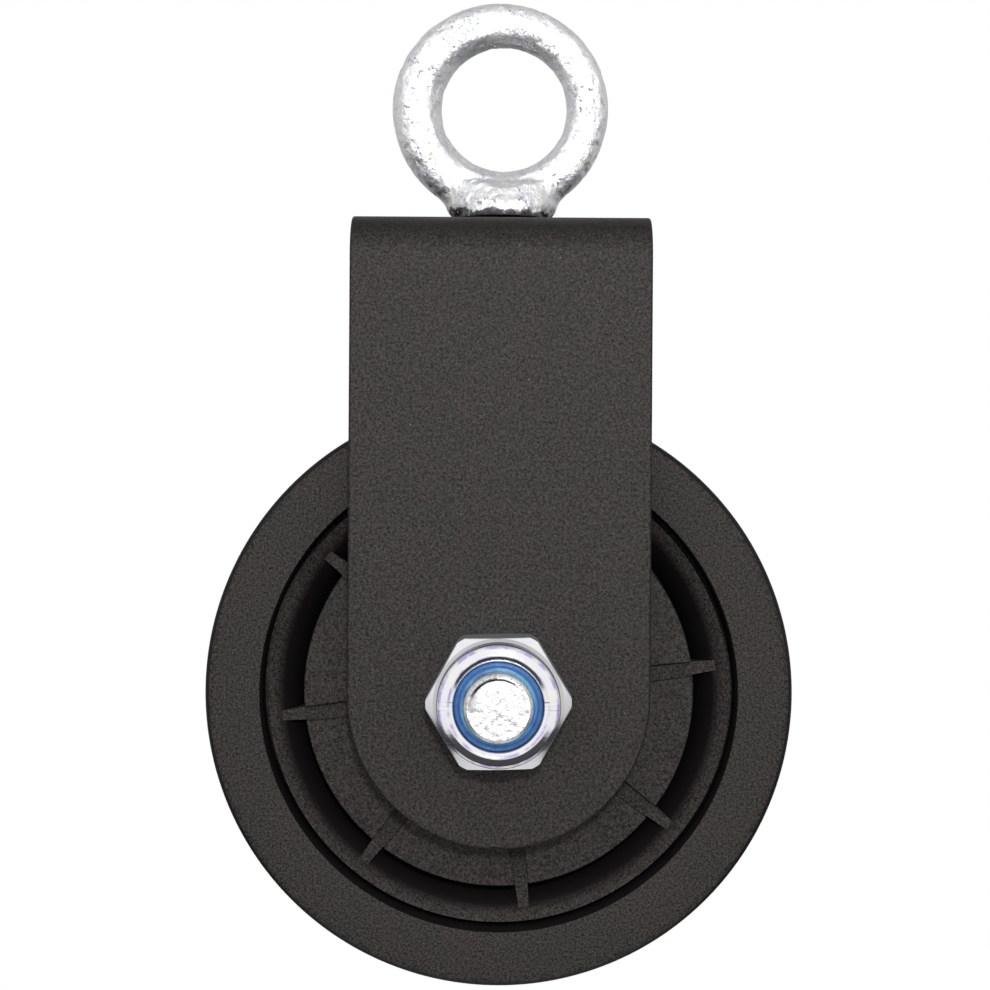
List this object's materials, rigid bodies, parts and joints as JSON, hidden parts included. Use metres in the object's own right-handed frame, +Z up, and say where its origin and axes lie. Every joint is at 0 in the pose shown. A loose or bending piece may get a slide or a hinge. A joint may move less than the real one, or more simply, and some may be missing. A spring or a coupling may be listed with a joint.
{
  "type": "single sheave block",
  "caption": "Pulley block with a forged swivel eye, a bent flat-bar strap and one grooved wheel that turns on sealed ball bearings.",
  "frame": {"origin": "centre of the hole in the eye", "axes": "+Z up along the eye's shank, +Y along the eye's hole and the axle towards the bolt head, +X across the strap; the nut is on the -Y side"},
  "size_m": [0.0892, 0.0575, 0.152],
  "materials": {
    "powder_coat": "fine-textured black powder coat on steel",
    "forged_zinc": "bright zinc plate on a forging",
    "zinc_plate": "bright zinc plate",
    "zinc_bolt": "bright zinc plate, cropped end",
    "blue_nylon": "smooth nylon",
    "spacer_steel": "turned",
    "black_nylon": "moulded nylon, fine grain",
    "bearing_steel": "ground",
    "ball_steel": "polished",
    "cage_nylon": "moulded nylon",
    "seal_rubber": "matt"
  },
  "bodies": {
    "eye": {"eye_bolt": "forged_zinc", "eye_washer": "zinc_plate", "eye_nut": "zinc_plate", "eye_nut_insert": "blue_nylon"},
    "frame": {"strap": "powder_coat", "axle_bolt": "zinc_bolt", "axle_nut": "zinc_plate", "axle_nut_insert": "blue_nylon", "front_spacer": "spacer_steel", "rear_spacer": "spacer_steel", "bearing_spacer": "spacer_steel", "front_bearing_inner_ring": "bearing_steel", "rear_bearing_inner_ring": "bearing_steel"},
    "sheave": {"sheave": "black_nylon", "front_bearing_outer_ring": "bearing_steel", "front_bearing_outboard_seal": "seal_rubber", "front_bearing_inboard_seal": "seal_rubber", "rear_bearing_outer_ring": "bearing_steel", "rear_bearing_outboard_seal": "seal_rubber", "rear_bearing_inboard_seal": "seal_rubber"},
    "front_cage": {"front_bearing_cage": "cage_nylon", "front_bearing_balls": "ball_steel"},
    "rear_cage": {"rear_bearing_cage": "cage_nylon", "rear_bearing_balls": "ball_steel"}
  },
  "joints": [
    {"name": "eye_swivel", "type": "hinge", "parent": "eye", "child": "frame", "pos_m": [0, 0, -0.0205], "axis": [0, 0, 1], "continuous": true},
    {"name": "sheave_spin", "type": "hinge", "parent": "frame", "child": "sheave", "pos_m": [0, 0, -0.0905], "axis": [0, 1, 0], "continuous": true},
    {"name": "front_cage_orbit", "type": "hinge", "parent": "frame", "child": "front_cage", "pos_m": [0, 0, -0.0905], "axis": [0, 1, 0], "continuous": true},
    {"name": "rear_cage_orbit", "type": "hinge", "parent": "frame", "child": "rear_cage", "pos_m": [0, 0, -0.0905], "axis": [0, 1, 0], "continuous": true}
  ],
  "couplings": [
    {"joint": "front_cage_orbit", "follows": "sheave_spin", "ratio": 0.6353},
    {"joint": "rear_cage_orbit", "follows": "sheave_spin", "ratio": 0.6353}
  ]
}
